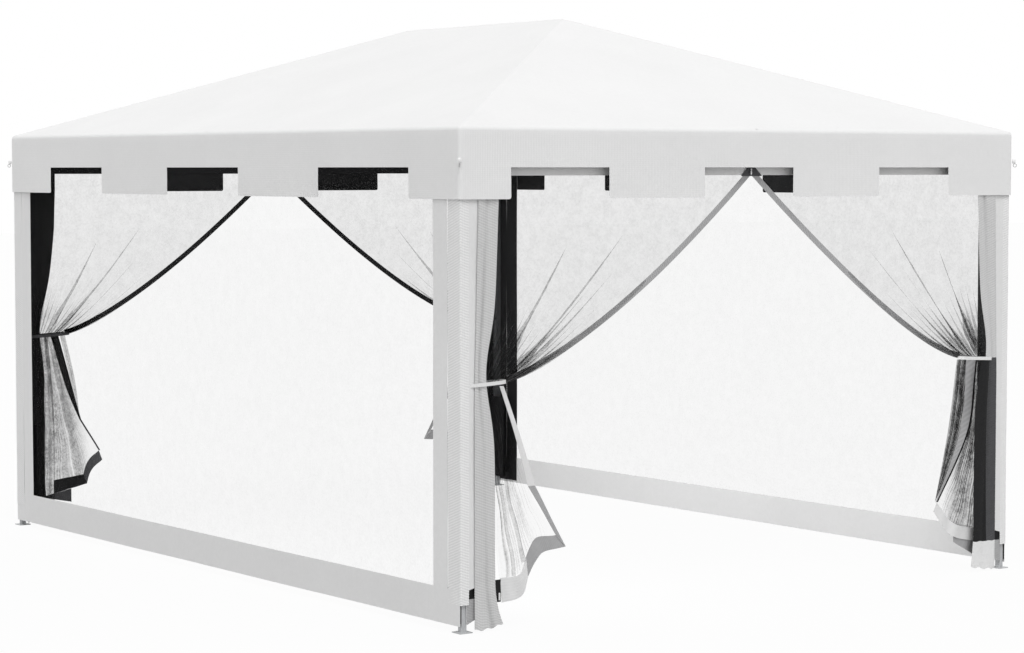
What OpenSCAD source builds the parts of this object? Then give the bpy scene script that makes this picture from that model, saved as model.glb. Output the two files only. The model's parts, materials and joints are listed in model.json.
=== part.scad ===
/* [Plan] */
// Distance between leg axes along the short sides, in X
leg_span_x = 3000; // [2800:50:3200]
// Distance between leg axes along the long sides, in Y
leg_span_y = 4000; // [3800:50:4500]

/* [Canopy] */
// Height of the eave edge
eave_h = 1998; // [1960:2:2100]
// Height of the ridge line
ridge_h = 2527; // [2480:5:2700]
// Length of the ridge between the two peaks
ridge_len = 1304; // [1100:10:1500]
// Distance from the leg axes out to the face of the valance
overhang = 31; // [28:1:50]
// Thickness of the roof and valance cloth as a solid
cloth_t = 1.2; // [0.8:0.1:2.5]
// Height of the valance below the eave
valance_h = 284; // [250:2:320]
// Height of the cutouts that leave the valance's tabs
cutout_h = 126; // [90:2:140]
// Thickness of the webbing of the guy loops
loop_t = 3; // [2:0.5:5]
// Outer radius of the guy loops
loop_r = 9; // [8:0.5:14]

/* [Legs] */
// Width of the square outer leg tube
leg_w = 30; // [28:1:34]
// Wall of the outer leg tube
leg_wall = 1.5; // [1.2:0.1:2]
// Height of the lower end of the outer leg tube
leg_bottom = 435; // [425:5:445]
// Width of the square inner leg tube
inner_w = 24; // [22:0.5:24]
// Wall of the inner leg tube
inner_wall = 1.5; // [1.2:0.1:2]
// Height of the top of the inner leg tube
inner_top = 700; // [660:10:760]
// Free gap on each side between the sliding leg tubes
leg_clear = 0.3; // [0.2:0.1:0.5]
// Height of the plastic collar at the end of the outer tube
collar_h = 50; // [44:2:54]
// Wall of the collar
collar_wall = 4; // [3:0.5:5]
// Width of the square foot plate
foot_w = 60; // [52:2:80]
// Thickness of the foot plate
foot_t = 4; // [3:0.5:6]
// Radius of the round release button on the collar
button_r = 9; // [7:0.5:11]
// Length of the release button outside the collar
button_out = 7; // [6:0.5:9]

/* [Folding frame] */
// Angle of every scissor bar from level when the frame is open
open_angle = 4; // [3.8:0.1:4.2]
// Depth of the upper scissor pivots on the legs below the eave
pivot_drop = 43; // [36:1:53]
// Distance from a leg axis to its scissor pivots, in X
pivot_out = 60; // [58:1:70]
// Distance from a leg axis to its rafter pivot
rafter_out = 46; // [45:0.5:48]
// Rise of the peak pivots above the leg pivots
peak_rise = 150; // [120:10:180]
// Height of the scissor bar section
bar_h = 20; // [16:1:22]
// Thickness of the scissor bar section
bar_t = 10; // [8:0.5:11]
// Wall of the scissor bar tube
bar_wall = 1.2; // [1:0.1:1.6]
// Length of each bar past its end pivots
bar_end = 13; // [12:0.5:14]
// Gap between the two layers of bars
layer_gap = 2; // [1:0.5:3]
// Radius of the rivets
rivet_r = 4; // [3:0.5:5]
// Radius of the rivet heads
head_r = 6.5; // [6:0.5:8]
// Thickness of the rivet heads
head_t = 1.5; // [1:0.25:2]
// Radial running clearance of the rivets
rivet_fit = 0.05; // [0.02:0.01:0.1]
// Side gap under each rivet head
head_gap = 0.3; // [0.2:0.1:0.5]
// Wall of the corner brackets and the sliders
bracket_wall = 4; // [3.5:0.5:5]
// Free gap between a slider and its leg
slider_clear = 0.5; // [0.3:0.1:0.8]
// Height of the sliders
slider_h = 40; // [36:1:50]
// Height of the corner brackets below the upper pivots
bracket_drop = 25; // [20:1:30]
// Radius of the peak posts
post_r = 12; // [10:0.5:14]
// Wall of the peak posts
post_wall = 1.5; // [1.2:0.1:2]

/* [Cloth sides] */
// Gap between the ground and the lower edge of the mesh walls
wall_lift = 27; // [20:1:40]
// Height of the closed cloth band at the foot of the walls
band_h = 143; // [120:1:180]
// Width of the tape down each side of the walls
tape_w = 100; // [80:5:120]
// Height of the top tape of the walls
header_h = 90; // [70:5:110]
// Thickness of the wall mesh as a solid
mesh_t = 0.8; // [0.6:0.1:1.2]
// Thickness of the tapes and bands as solids
tape_t = 1.6; // [1.3:0.1:2.5]
// Free gap between soft pieces and their neighbours
soft_gap = 0.3; // [0.3:0.1:0.6]
// Depth of a gathered curtain
gather_d = 6; // [5:0.5:20]
// Height at which the curtains are tied back
tie_h = 980; // [900:10:1100]
// Width of a curtain where it is tied back
tie_w = 200; // [150:10:260]
// Width of a curtain at the free corner of its hem
hem_w = 500; // [400:10:600]
// Height of the free corner of the hem
hem_corner_h = 290; // [200:10:350]
// Height of the curtain hem above the ground
hem_lift = 90; // [50:5:130]

/* [Hidden] */
$fn = 48;

// Corners in the order front left, front right, rear left, rear right
CORNERS = ["front_left", "front_right", "rear_left", "rear_right"];
SIDES = ["front", "rear", "left", "right"];
DIRECTIONS = ["down", "up"];
MODULES = [2, 2, 3, 3];

// Overlap that joins two shapes of one solid, and depth of an ear in its block
lap = 0.01;
ear_root = 1;
// Free room where a bar swings past a post, and under the rafters
swing_gap = 3;
rafter_gap = 20;
// Cap on the peak posts
post_cap_h = 20;
post_cap_wall = 2;

// Half spans, and the direction in plan from each leg to its peak
half_x = leg_span_x / 2;
half_y = leg_span_y / 2;
peak_y = ridge_len / 2;
leg_to_peak = norm([half_x, half_y - peak_y]);
plan_x = half_x / leg_to_peak;
plan_y = (half_y - peak_y) / leg_to_peak;
plan_angle = atan2(plan_y, plan_x);

// Pivot offsets that keep the plan similar to itself while the frame folds
pivot_out_y = pivot_out * plan_y / plan_x;
peak_out = pivot_out / plan_x - rafter_out;

// Half lengths of the scissor bars, from the crossing rivet to the end pivots
pivot_h = eave_h - pivot_drop;
bar_half = (leg_span_x - 2 * pivot_out) / (4 * cos(open_angle));
bar_half_long = ((leg_span_y - 2 * pivot_out_y) / cos(open_angle) - 2 * bar_half) / 4;
pivot_mid_h = pivot_h - bar_half * sin(open_angle);
pivot_low_h = pivot_h - 2 * bar_half * sin(open_angle);

// Rafter halves between the leg pivot and the peak pivot
rafter_run = leg_to_peak - rafter_out - peak_out;
rafter_slope = atan2(peak_rise, rafter_run);
rafter_half = norm([rafter_run, peak_rise]) / (2 * cos(open_angle));
knee_x = rafter_out + rafter_half * cos(rafter_slope - open_angle);
knee_h = pivot_h + rafter_half * sin(rafter_slope - open_angle);
peak_pivot_h = pivot_h + peak_rise;

// Roof planes
eave_x = half_x + overhang;
eave_y = half_y + overhang;
roof_slope_x = (ridge_h - eave_h) / eave_x;
roof_slope_y = (ridge_h - eave_h) / (eave_y - peak_y);
layer_y = (layer_gap + bar_t) / 2;
bar_reach = layer_gap / 2 + bar_t;
rivet_reach = bar_reach + head_gap + head_t;
bar_corner = norm([bar_end, bar_h / 2]);
ridge_pivot_h = ridge_h - cloth_t - bar_end * (roof_slope_y + sin(open_angle)) - bar_h / 2 - 2 * soft_gap;
ridge_half = peak_y / cos(open_angle);
post_shift = post_r + bar_h / 2 + swing_gap;
post_top_h = ridge_pivot_h - bar_corner - swing_gap;

// Corner bracket, slider and collar sections
bracket_half = leg_w / 2 + bracket_wall;
leg_corner = leg_w / sqrt(2) + soft_gap;
slider_half = leg_w / 2 + slider_clear + bracket_wall;
bracket_top_h = eave_h + roof_slope_x * (overhang - bracket_half) - cloth_t - soft_gap;
leg_top_h = bracket_top_h - bracket_wall;
collar_half = leg_w / 2 + collar_wall;
button_h = leg_bottom + collar_h / 2;
button_in = collar_wall;

// Valance cutouts: the shares of a side's length at which the cuts start and end
SHORT_CUTS = [[0.079, 0.240], [0.404, 0.567], [0.730, 0.868]];
LONG_CUTS = [[0.089, 0.260], [0.426, 0.590], [0.752, 0.889]];

// Cloth sides: planes of the walls and curtains
wall_in = slider_half + soft_gap;
curtain_in = rivet_reach + soft_gap;
curtain_x = slider_half + soft_gap;
curtain_top_h = pivot_h - bar_h / 2 - rafter_gap;
curtain_mid_gap = 1;

function corner_x(c) = (c % 2 == 0 ? -1 : 1) * half_x;
function corner_y(c) = (c < 2 ? -1 : 1) * half_y;

// Rafters of opposite corners are alike, and those of neighbours are mirrored
function rafter_hand(c) = (c == 0 || c == 3) ? 1 : -1;
function rafter_angle(c) = [plan_angle, 180 - plan_angle, -plan_angle, 180 + plan_angle][c];

// Places a side's frame at its first leg, with X along the side and Y to its left
module on_side(s) {
    origin = [[-half_x, -half_y], [-half_x, half_y], [-half_x, -half_y], [half_x, -half_y]][s];
    translate([origin.x, origin.y, 0])
        rotate([0, 0, s < 2 ? 0 : 90])
            children();
}

// Places a rafter's frame at its leg, with X towards the peak
module on_rafter(c) {
    translate([corner_x(c), corner_y(c), 0])
        rotate([0, 0, rafter_angle(c)])
            children();
}

// A rivet that starts at the outer face of one layer and passes through the other
module rivet(layer) {
    translate([0, layer * bar_t / 2, 0])
        rotate([layer * 90, 0, 0]) {
            cylinder(h = 2 * bar_t + layer_gap + head_gap + lap, r = rivet_r);
            translate([0, 0, 2 * bar_t + layer_gap + head_gap])
                cylinder(h = head_t, r = head_r);
        }
}

// A hollow bar, placed by one point and its tilt, with rivets and holes along it
module bar(at, tilt, reach, layer, rivets = [], holes = []) {
    length = reach[1] - reach[0] + 2 * bar_end;
    translate([at.x, layer * layer_y, at.y])
        rotate([0, -tilt, 0])
            difference() {
                union() {
                    difference() {
                        translate([reach[0] - bar_end, -bar_t / 2, -bar_h / 2])
                            cube([length, bar_t, bar_h]);
                        translate([reach[0] - bar_end - 1, -bar_t / 2 + bar_wall, -bar_h / 2 + bar_wall])
                            cube([length + 2, bar_t - 2 * bar_wall, bar_h - 2 * bar_wall]);
                    }
                    for (s = rivets)
                        translate([s, 0, 0]) rivet(layer);
                }
                for (s = holes)
                    translate([s, 0, 0])
                        rotate([90, 0, 0])
                            cylinder(h = bar_t + 2, r = rivet_r + rivet_fit, center = true);
            }
}

// An ear that carries one bar end on a rivet, reaching from root_x to its pivot
module ear(at, root_x, layer) {
    low_x = min(at.x, root_x);
    translate([0, layer * layer_y, 0]) {
        translate([low_x, -bar_t / 2, at.y - bar_h / 2])
            cube([abs(at.x - root_x), bar_t, bar_h]);
        translate([at.x, bar_t / 2, at.y])
            rotate([90, 0, 0])
                cylinder(h = bar_t, r = bar_h / 2);
        translate([at.x, 0, at.y])
            rivet(layer);
    }
}

// The ears of one leg on its two sides: the first or the last end of each side
module side_ears(c, half, height, upper) {
    x_side = c < 2 ? 0 : 1;
    y_side = c % 2 == 0 ? 2 : 3;
    side_ear(x_side, c % 2 == 1, leg_span_x, pivot_out, half, height, upper);
    side_ear(y_side, c >= 2, leg_span_y, pivot_out_y, half, height, upper);
}

module side_ear(s, last, span, out, half, height, upper) {
    layer = (last == upper) ? -1 : 1;
    on_side(s)
        ear([last ? span - out : out, height], last ? span - half + ear_root : half - ear_root, layer);
}

// Square tube with its axis in Z
module square_tube(half, hollow_half, low, high) {
    difference() {
        translate([-half, -half, low])
            cube([2 * half, 2 * half, high - low]);
        translate([-hollow_half, -hollow_half, low - 1])
            cube([2 * hollow_half, 2 * hollow_half, high - low + 2]);
    }
}

module at_corner(c) {
    translate([corner_x(c), corner_y(c), 0])
        children();
}

// Outer leg: square tube with the plastic collar that guides the inner leg
module leg_outer(c) {
    inward = corner_x(c) < 0 ? 1 : -1;
    color("silver")
        at_corner(c)
            difference() {
                union() {
                    square_tube(leg_w / 2, leg_w / 2 - leg_wall, leg_bottom, leg_top_h);
                    square_tube(collar_half, inner_w / 2 + leg_clear, leg_bottom, leg_bottom + collar_h);
                }
                translate([inward * inner_w / 2, 0, button_h])
                    rotate([0, inward * 90, 0])
                        cylinder(h = collar_half, r = button_r + leg_clear);
            }
}

// Inner leg: square tube on its foot plate, with a guide plug at the top
module leg_inner(c) {
    plug_half = leg_w / 2 - leg_wall - leg_clear;
    color("gainsboro")
        at_corner(c) {
            square_tube(inner_w / 2, inner_w / 2 - inner_wall, foot_t - 1, inner_top);
            square_tube(plug_half, inner_w / 2 - inner_wall, inner_top - collar_h / 2, inner_top);
            translate([-foot_w / 2, -foot_w / 2, 0])
                cube([foot_w, foot_w, foot_t]);
        }
}

// Release button in the collar
module leg_button(c) {
    inward = corner_x(c) < 0 ? 1 : -1;
    color("dimgray")
        at_corner(c)
            translate([inward * (collar_half - button_in), 0, button_h])
                rotate([0, inward * 90, 0])
                    cylinder(h = button_out + button_in, r = button_r);
}

// Corner bracket: cap over the leg top, with ears for two scissor bars and a rafter
module corner_bracket(c) {
    color("dimgray") {
        at_corner(c) {
            square_tube(bracket_half, leg_w / 2, pivot_h - bracket_drop, leg_top_h + lap);
            translate([-bracket_half, -bracket_half, leg_top_h])
                cube([2 * bracket_half, 2 * bracket_half, bracket_wall]);
        }
        side_ears(c, bracket_half, pivot_h, true);
        on_rafter(c)
            ear([rafter_out, pivot_h], leg_corner, rafter_hand(c));
    }
}

// Slider: ring on the leg, with ears for two scissor bars
module slider(c) {
    color("dimgray") {
        at_corner(c)
            square_tube(slider_half, leg_w / 2 + slider_clear,
                pivot_low_h - slider_h / 2, pivot_low_h + slider_h / 2);
        side_ears(c, slider_half, pivot_low_h, false);
    }
}

// One bar of a side's scissors: module m of the side, sloping down or up along it
module scissor_bar(s, m, down) {
    count = MODULES[s];
    inner_half = s < 2 ? bar_half : bar_half_long;
    out = s < 2 ? pivot_out : pivot_out_y;
    back = m == 1 ? bar_half : inner_half;
    fore = m == count ? bar_half : inner_half;
    along = m == 1 ? bar_half : bar_half + inner_half * 2 * (m - 1);
    at = [out + along * cos(open_angle), pivot_mid_h];
    inner_ends = concat(m > 1 ? [-back] : [], m < count ? [fore] : []);
    leg_ends = concat(m == 1 ? [-back] : [], m == count ? [fore] : []);
    color("silver")
        on_side(s)
            if (down)
                bar(at, -open_angle, [-back, fore], -1, rivets = concat([0], inner_ends), holes = leg_ends);
            else
                bar(at, open_angle, [-back, fore], 1, holes = [-back, 0, fore]);
}

// Outer half of a hip rafter, from the corner bracket to the knee
module rafter_outer(c) {
    color("silver")
        on_rafter(c)
            bar([rafter_out, pivot_h], rafter_slope - open_angle, [0, rafter_half], -rafter_hand(c),
                rivets = [rafter_half], holes = [0]);
}

// Inner half of a hip rafter, from the knee to the peak post
module rafter_inner(c) {
    color("silver")
        on_rafter(c)
            bar([knee_x, knee_h], rafter_slope + open_angle, [0, rafter_half], rafter_hand(c),
                holes = [0, rafter_half]);
}

// Peak post: block with two rafter ears, tube, and the fork of the ridge bar
module peak_post(rear) {
    block_low = peak_pivot_h - bar_h / 2;
    block_x = (peak_out - bar_corner) * plan_x - 1;
    pivot_x = leg_to_peak - peak_out;
    color("dimgray") {
        for (c = rear ? [2, 3] : [0, 1])
            on_rafter(c)
                ear([pivot_x, peak_pivot_h], pivot_x + peak_out / 2, -rafter_hand(c));
        rotate([0, 0, rear ? 180 : 0])
            translate([0, -peak_y, 0]) {
                translate([-block_x, -post_shift - post_r - swing_gap, block_low])
                    cube([2 * block_x, 2 * post_r + swing_gap - post_cap_wall, bar_h + post_wall]);
                translate([0, -post_shift, block_low]) {
                    difference() {
                        cylinder(h = post_top_h - block_low, r = post_r);
                        translate([0, 0, bar_h])
                            cylinder(h = post_top_h - block_low, r = post_r - post_wall);
                    }
                }
                translate([0, -post_shift, post_top_h - post_cap_h])
                    cylinder(h = post_cap_h, r = post_r + post_cap_wall);
                rotate([0, 0, 90])
                    translate([0, layer_y, 0]) {
                        translate([-post_shift - post_r, -bar_t / 2, post_top_h - ear_root])
                            cube([post_r + post_shift, bar_t, ridge_pivot_h - post_top_h]);
                        translate([0, bar_t / 2, ridge_pivot_h])
                            rotate([90, 0, 0])
                                cylinder(h = bar_t, r = bar_h / 2);
                        translate([0, 0, ridge_pivot_h])
                            rivet(1);
                    }
            }
    }
}

// Half of the ridge bar, from its peak post to the knee in the middle
module ridge_bar(rear) {
    color("silver")
        rotate([0, 0, rear ? -90 : 90])
            translate([-peak_y, 0, 0])
                bar([0, ridge_pivot_h], -open_angle, [0, ridge_half], -1,
                    rivets = rear ? [] : [ridge_half], holes = rear ? [0, ridge_half] : [0]);
}

// Solid under the four roof planes
module roof_solid() {
    polyhedron(
        points = [
            [-eave_x, -eave_y, eave_h], [eave_x, -eave_y, eave_h],
            [eave_x, eave_y, eave_h], [-eave_x, eave_y, eave_h],
            [0, -peak_y, ridge_h], [0, peak_y, ridge_h]
        ],
        faces = [[0, 1, 2, 3], [0, 4, 1], [1, 4, 5, 2], [2, 5, 3], [3, 5, 4, 0]]
    );
}

module plan_box(half_w, half_d, low, high) {
    translate([-half_w, -half_d, low])
        cube([2 * half_w, 2 * half_d, high - low]);
}

// The cutouts of one side and of the side opposite, which is its mirror image
module valance_cuts(cuts, length, reach) {
    for (face = [-1, 1], cut = cuts)
        translate([(cut[0] - 0.5) * length, face * reach - 5 - cloth_t, eave_h - valance_h - 1])
            cube([(cut[1] - cut[0]) * length, 2 * cloth_t + 10, cutout_h + 1]);
}

// Canopy: hip roof and valance in one closed cloth solid, open below
module canopy() {
    valance_low = eave_h - valance_h;
    color("white")
        difference() {
            union() {
                plan_box(eave_x, eave_y, valance_low, eave_h);
                roof_solid();
            }
            intersection() {
                plan_box(eave_x - cloth_t, eave_y - cloth_t, valance_low - 1, ridge_h);
                union() {
                    plan_box(eave_x + 1, eave_y + 1, valance_low - 1, eave_h - cloth_t);
                    translate([0, 0, -cloth_t]) roof_solid();
                }
            }
            valance_cuts(SHORT_CUTS, 2 * eave_x, eave_y);
            mirror([1, -1, 0]) valance_cuts(LONG_CUTS, 2 * eave_y, eave_x);
        }
}

// Guy loops: one webbing ring on each corner of the valance
module guy_loops() {
    ring_h = eave_h - valance_h + cutout_h + loop_r;
    color("lightgray")
        for (sx = [-1, 1], sy = [-1, 1])
            translate([sx * (eave_x + loop_r * 0.72), sy * (eave_y + loop_r * 0.72), ring_h])
                rotate([90, 0, sx * sy * 45])
                    difference() {
                        cylinder(h = loop_t, r = loop_r, center = true);
                        cylinder(h = loop_t + 2, r = loop_r - loop_t, center = true);
                    }
}

// Mesh wall: net panel with side tapes, a top tape and a closed band at its foot
module mesh_wall(right) {
    top_h = pivot_h + bar_h / 2;
    half_d = half_y + slider_half;
    color("whitesmoke")
        mirror([right ? 1 : 0, 0, 0])
            translate([-half_x - wall_in, 0, 0]) {
                translate([-mesh_t, -half_d, wall_lift])
                    cube([mesh_t, 2 * half_d, top_h - wall_lift]);
                translate([-tape_t, -half_d, wall_lift])
                    cube([tape_t, 2 * half_d, band_h]);
                translate([-tape_t, -half_d, top_h - header_h])
                    cube([tape_t, 2 * half_d, header_h]);
                for (y = [-half_d, half_d - tape_w])
                    translate([-tape_t, y, wall_lift])
                        cube([tape_t, tape_w, top_h - wall_lift]);
            }
}

// Outline of a tied curtain: its free edge sweeps down from the middle of the doorway
// to the tie, and flares below it to the free corner of the hem
module curtain_outline() {
    width = half_x - curtain_x - curtain_mid_gap;
    sweep_top = eave_h - valance_h + cutout_h;
    sweep = [for (u = [1:-0.1:0])
        [tie_w + (width - tie_w) * u, tie_h + (sweep_top - tie_h) * pow(u, 1.45)]];
    flare = [for (v = [0.1:0.15:1])
        [tie_w + (hem_w - tie_w) * pow(v, 1.4), tie_h - (tie_h - hem_corner_h) * v]];
    polygon(concat(
        [[0, curtain_top_h], [width, curtain_top_h]],
        sweep,
        flare,
        [[hem_w * 0.42, hem_lift], [0, hem_lift * 0.7]]
    ));
}

// Curtain: gathered to its leg and tied there
module curtain(c) {
    color("whitesmoke")
        mirror([corner_x(c) < 0 ? 0 : 1, 0, 0])
            mirror([0, c < 2 ? 0 : 1, 0])
                translate([-half_x + curtain_x, -half_y + curtain_in + gather_d, 0])
                    rotate([90, 0, 0])
                        linear_extrude(height = gather_d)
                            curtain_outline();
}

for (c = [0:3]) {
    leg_outer(c);
    leg_inner(c);
    leg_button(c);
    corner_bracket(c);
    slider(c);
    rafter_outer(c);
    rafter_inner(c);
    curtain(c);
}
for (s = [0:3], m = [1:MODULES[s]]) {
    scissor_bar(s, m, true);
    scissor_bar(s, m, false);
}
peak_post(false);  // peak_post_front
peak_post(true);  // peak_post_rear
ridge_bar(false);  // ridge_bar_front
ridge_bar(true);  // ridge_bar_rear
canopy();
guy_loops();
mesh_wall(false);  // mesh_wall_left
mesh_wall(true);  // mesh_wall_right
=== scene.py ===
import json
import math
from functools import partial

import bpy
import numpy as np
from mathutils import Vector, noise
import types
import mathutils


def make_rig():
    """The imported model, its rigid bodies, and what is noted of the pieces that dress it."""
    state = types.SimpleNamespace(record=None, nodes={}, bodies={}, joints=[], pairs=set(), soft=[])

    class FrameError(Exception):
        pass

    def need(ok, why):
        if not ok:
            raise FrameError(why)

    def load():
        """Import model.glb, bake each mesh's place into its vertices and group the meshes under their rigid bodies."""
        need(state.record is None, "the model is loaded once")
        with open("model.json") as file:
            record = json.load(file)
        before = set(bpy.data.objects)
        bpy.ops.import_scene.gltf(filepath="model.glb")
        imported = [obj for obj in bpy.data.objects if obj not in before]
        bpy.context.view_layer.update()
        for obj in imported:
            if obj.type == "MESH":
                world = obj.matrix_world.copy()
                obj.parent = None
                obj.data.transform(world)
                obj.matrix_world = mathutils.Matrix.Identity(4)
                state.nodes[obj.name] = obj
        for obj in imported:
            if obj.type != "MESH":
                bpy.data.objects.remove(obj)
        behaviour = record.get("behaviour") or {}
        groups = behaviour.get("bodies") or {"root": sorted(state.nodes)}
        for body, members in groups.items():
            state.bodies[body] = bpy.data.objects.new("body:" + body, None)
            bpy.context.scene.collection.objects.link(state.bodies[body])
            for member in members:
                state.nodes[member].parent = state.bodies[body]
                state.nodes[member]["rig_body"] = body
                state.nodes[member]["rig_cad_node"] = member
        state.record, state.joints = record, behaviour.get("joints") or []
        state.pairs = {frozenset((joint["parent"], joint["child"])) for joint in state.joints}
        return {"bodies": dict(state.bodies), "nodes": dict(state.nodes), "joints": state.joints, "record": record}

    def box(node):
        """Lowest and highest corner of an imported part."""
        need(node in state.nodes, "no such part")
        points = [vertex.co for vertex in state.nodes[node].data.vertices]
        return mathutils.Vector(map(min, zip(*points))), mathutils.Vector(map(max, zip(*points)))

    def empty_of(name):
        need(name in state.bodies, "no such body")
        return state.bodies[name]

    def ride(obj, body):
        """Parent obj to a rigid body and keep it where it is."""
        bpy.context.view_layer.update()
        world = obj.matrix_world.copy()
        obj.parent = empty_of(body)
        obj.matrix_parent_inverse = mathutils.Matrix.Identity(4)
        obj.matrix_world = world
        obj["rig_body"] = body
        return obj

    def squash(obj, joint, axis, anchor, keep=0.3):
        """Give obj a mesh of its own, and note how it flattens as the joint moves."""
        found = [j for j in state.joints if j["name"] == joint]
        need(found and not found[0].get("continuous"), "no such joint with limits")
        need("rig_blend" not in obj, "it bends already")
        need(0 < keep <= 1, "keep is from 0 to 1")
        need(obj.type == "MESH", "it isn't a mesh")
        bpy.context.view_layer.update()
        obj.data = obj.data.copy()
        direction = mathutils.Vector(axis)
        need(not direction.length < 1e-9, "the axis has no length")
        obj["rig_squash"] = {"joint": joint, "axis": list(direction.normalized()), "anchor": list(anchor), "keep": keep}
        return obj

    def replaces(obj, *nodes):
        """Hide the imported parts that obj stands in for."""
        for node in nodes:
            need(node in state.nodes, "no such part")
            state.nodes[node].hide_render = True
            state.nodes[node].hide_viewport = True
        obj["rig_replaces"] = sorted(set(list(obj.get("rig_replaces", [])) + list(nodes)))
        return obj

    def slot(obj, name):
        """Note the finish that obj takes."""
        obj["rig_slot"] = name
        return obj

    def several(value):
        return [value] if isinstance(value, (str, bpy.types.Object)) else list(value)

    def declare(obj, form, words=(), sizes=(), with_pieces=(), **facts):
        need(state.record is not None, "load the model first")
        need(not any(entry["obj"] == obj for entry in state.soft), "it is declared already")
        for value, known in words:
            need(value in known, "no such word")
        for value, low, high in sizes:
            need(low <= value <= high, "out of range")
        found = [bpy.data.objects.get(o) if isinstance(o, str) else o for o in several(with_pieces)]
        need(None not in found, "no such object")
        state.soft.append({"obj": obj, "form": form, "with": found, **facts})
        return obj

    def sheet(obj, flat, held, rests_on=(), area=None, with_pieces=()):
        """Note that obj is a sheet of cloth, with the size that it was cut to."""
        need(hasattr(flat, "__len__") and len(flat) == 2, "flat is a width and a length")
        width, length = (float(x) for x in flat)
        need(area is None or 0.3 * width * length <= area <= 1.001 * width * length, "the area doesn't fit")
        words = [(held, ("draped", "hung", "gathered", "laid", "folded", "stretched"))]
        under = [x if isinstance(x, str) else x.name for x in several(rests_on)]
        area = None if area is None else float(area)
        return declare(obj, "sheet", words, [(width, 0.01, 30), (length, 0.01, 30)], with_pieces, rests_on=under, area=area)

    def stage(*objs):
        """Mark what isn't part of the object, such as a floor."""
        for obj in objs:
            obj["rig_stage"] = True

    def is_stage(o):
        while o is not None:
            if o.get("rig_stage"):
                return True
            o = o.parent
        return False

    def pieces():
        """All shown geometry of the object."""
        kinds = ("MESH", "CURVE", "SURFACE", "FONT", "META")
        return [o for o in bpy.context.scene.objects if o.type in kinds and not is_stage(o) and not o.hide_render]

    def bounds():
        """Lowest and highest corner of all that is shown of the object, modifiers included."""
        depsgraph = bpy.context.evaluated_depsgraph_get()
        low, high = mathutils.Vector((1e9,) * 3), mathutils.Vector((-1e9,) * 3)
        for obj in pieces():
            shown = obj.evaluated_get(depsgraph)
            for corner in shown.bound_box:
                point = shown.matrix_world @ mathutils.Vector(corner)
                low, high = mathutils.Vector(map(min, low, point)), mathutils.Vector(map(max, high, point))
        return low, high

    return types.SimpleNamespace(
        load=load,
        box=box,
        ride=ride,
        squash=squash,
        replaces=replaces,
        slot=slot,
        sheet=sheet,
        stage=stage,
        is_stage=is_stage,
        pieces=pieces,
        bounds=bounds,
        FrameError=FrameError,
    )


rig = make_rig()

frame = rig.load()
CAD_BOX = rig.bounds()

# Sizes of the CAD nodes, and the part's own values that no node's box gives
CORNERS = ["front_left", "front_right", "rear_left", "rear_right"]
SIGNS = {"front_left": (-1, -1), "front_right": (1, -1), "rear_left": (-1, 1), "rear_right": (1, 1)}
CLOTH_LOW, CLOTH_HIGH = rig.box("canopy")
EAVE_X, EAVE_Y = CLOTH_HIGH.x, CLOTH_HIGH.y
VALANCE_LOW, RIDGE_H = CLOTH_LOW.z, CLOTH_HIGH.z
VALANCE_H = 0.284
EAVE_H = VALANCE_LOW + VALANCE_H
CUTOUT_H = 0.126
LEG_X = -sum(p.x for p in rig.box("leg_outer_front_left")) / 2
LEG_Y = -sum(p.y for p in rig.box("leg_outer_front_left")) / 2
RIDGE_HALF = 0.652
SLOPE_X = (RIDGE_H - EAVE_H) / EAVE_X
SLOPE_Y = (RIDGE_H - EAVE_H) / (EAVE_Y - RIDGE_HALF)
# Start and end of each valance cutout, as shares of its side
SHORT_CUTS = [(0.079, 0.240), (0.404, 0.567), (0.730, 0.868)]
LONG_CUTS = [(0.089, 0.260), (0.426, 0.590), (0.752, 0.889)]
CLOTH_T = 0.0012
TAPE_T = 0.0014
LINING_T = 0.0010
# Shares of its width that a side's cloth keeps when the frame is folded, so that its halves still meet
FOLD_KEEP_X, FOLD_KEEP_Y = 0.158, 0.142


def spaced(start, end, steps):
    """Evenly spaced values from start to end."""
    return [start + (end - start) * i / steps for i in range(steps + 1)]


def blunt(value, power):
    """The value with its size raised to a power; a sine or cosine made so draws a rounded rectangle."""
    return math.copysign(abs(value) ** power, value)


# Materials
RIB_PITCH, RIB_SLANT = 0.011, 0.35
NET_PITCH = 0.0022


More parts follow.
